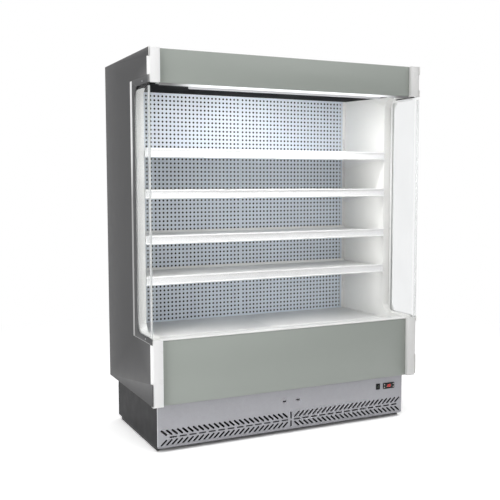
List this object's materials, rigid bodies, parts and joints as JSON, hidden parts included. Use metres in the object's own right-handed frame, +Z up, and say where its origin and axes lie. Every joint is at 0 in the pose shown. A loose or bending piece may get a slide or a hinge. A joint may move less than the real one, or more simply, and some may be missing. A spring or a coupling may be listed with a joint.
{
  "type": "open multideck display fridge",
  "caption": "Open-front refrigerated wall cabinet: glazed end walls, canopy, adjustable shelves with price rails, perforated back, and a louvred plinth over a built-in cooling unit.",
  "frame": {"origin": "on the floor, under the middle of the cabinet's box", "axes": "+X to the right seen from the open front, +Y from the open front to the back, +Z up"},
  "size_m": [1.691, 0.8, 2.12],
  "materials": {
    "galvanised_steel": "galvanised sheet, faint mottling",
    "plinth_steel": "dark grey powder coat",
    "panel_grey": "satin grey powder coat",
    "cover_grey": "satin mid grey powder coat",
    "band_grey": "matt dark grey band round the glass",
    "white_liner": "white coated liner over foam",
    "foamed_panel": "galvanised skins over rigid foam",
    "white_steel": "white powder coat",
    "black_steel": "satin black coat",
    "white_plastic": "satin white moulding",
    "black_plastic": "fine satin black",
    "key_plastic": "light grey keys",
    "lamp_diffuser": "opal diffuser, lit",
    "fin_aluminium": "bare fins and copper bends",
    "glass": "clear insulating glass"
  },
  "bodies": {
    "cabinet": {"base_frame": "galvanised_steel", "foot_front_left": "black_plastic", "foot_front_right": "black_plastic", "foot_rear_left": "black_plastic", "foot_rear_right": "black_plastic", "plinth_surround": "plinth_steel", "louvre_panel": "galvanised_steel", "switch_housing": "black_plastic", "controller": "black_plastic", "unit_tray": "galvanised_steel", "condenser": "fin_aluminium", "condenser_fan_mount": "black_steel", "compressor": "black_steel", "electrical_box": "galvanised_steel", "insulated_tub": "foamed_panel", "rear_wall": "foamed_panel", "roof_panel": "foamed_panel", "end_wall_right": "white_liner", "end_wall_left": "white_liner", "side_cover_right": "cover_grey", "side_cover_left": "cover_grey", "side_glass_right": "glass", "side_glass_left": "glass", "window_frame_right": "band_grey", "window_frame_left": "band_grey", "canopy_fascia": "panel_grey", "canopy_cap_right": "white_plastic", "canopy_cap_left": "white_plastic", "lamp": "lamp_diffuser", "bumper_panel": "panel_grey", "bumper_cap_right": "white_plastic", "bumper_cap_left": "white_plastic", "front_rail": "white_plastic", "return_grille": "white_steel", "deck_pan_right": "white_steel", "deck_pan_left": "white_steel", "fan_plate": "white_steel", "evaporator": "fin_aluminium", "duct_panel_right": "white_steel", "duct_panel_left": "white_steel", "ceiling_panel": "black_steel", "air_honeycomb": "black_plastic", "upright_right": "white_steel", "upright_left": "white_steel", "shelf_1": "white_steel", "price_rail_1": "white_plastic", "shelf_2": "white_steel", "price_rail_2": "white_plastic", "shelf_3": "white_steel", "price_rail_3": "white_plastic", "shelf_4": "white_steel", "price_rail_4": "white_plastic"},
    "switch_rocker": {"rocker": "black_plastic"},
    "controller_key_1": {"key_1": "key_plastic"},
    "controller_key_2": {"key_2": "key_plastic"},
    "controller_key_3": {"key_3": "key_plastic"},
    "controller_key_4": {"key_4": "key_plastic"},
    "condenser_wheel": {"condenser_fan": "black_plastic"},
    "evaporator_wheel_left": {"evaporator_fan_left": "black_plastic"},
    "evaporator_wheel_right": {"evaporator_fan_right": "black_plastic"}
  },
  "joints": [
    {"name": "rocker_tip", "type": "hinge", "parent": "cabinet", "child": "switch_rocker", "pos_m": [0.6175, -0.323, 0.202], "axis": [1, 0, 0], "range_deg": [-18, 0]},
    {"name": "key_1_press", "type": "slide", "parent": "cabinet", "child": "controller_key_1", "axis": [0, 1, 0], "range_m": [0, 0.0008], "stiffness_N_per_m": 800, "springref_m": -0.0002},
    {"name": "key_2_press", "type": "slide", "parent": "cabinet", "child": "controller_key_2", "axis": [0, 1, 0], "range_m": [0, 0.0008], "stiffness_N_per_m": 800, "springref_m": -0.0002},
    {"name": "key_3_press", "type": "slide", "parent": "cabinet", "child": "controller_key_3", "axis": [0, 1, 0], "range_m": [0, 0.0008], "stiffness_N_per_m": 800, "springref_m": -0.0002},
    {"name": "key_4_press", "type": "slide", "parent": "cabinet", "child": "controller_key_4", "axis": [0, 1, 0], "range_m": [0, 0.0008], "stiffness_N_per_m": 800, "springref_m": -0.0002},
    {"name": "condenser_fan_spin", "type": "hinge", "parent": "cabinet", "child": "condenser_wheel", "pos_m": [-0.484, -0.2044, 0.1626], "axis": [0, 1, 0], "continuous": true},
    {"name": "evaporator_fan_left_spin", "type": "hinge", "parent": "cabinet", "child": "evaporator_wheel_left", "pos_m": [-0.38, -0.082, 0.4465], "axis": [0, 1, 0], "continuous": true},
    {"name": "evaporator_fan_right_spin", "type": "hinge", "parent": "cabinet", "child": "evaporator_wheel_right", "pos_m": [0.38, -0.082, 0.4465], "axis": [0, 1, 0], "continuous": true}
  ]
}
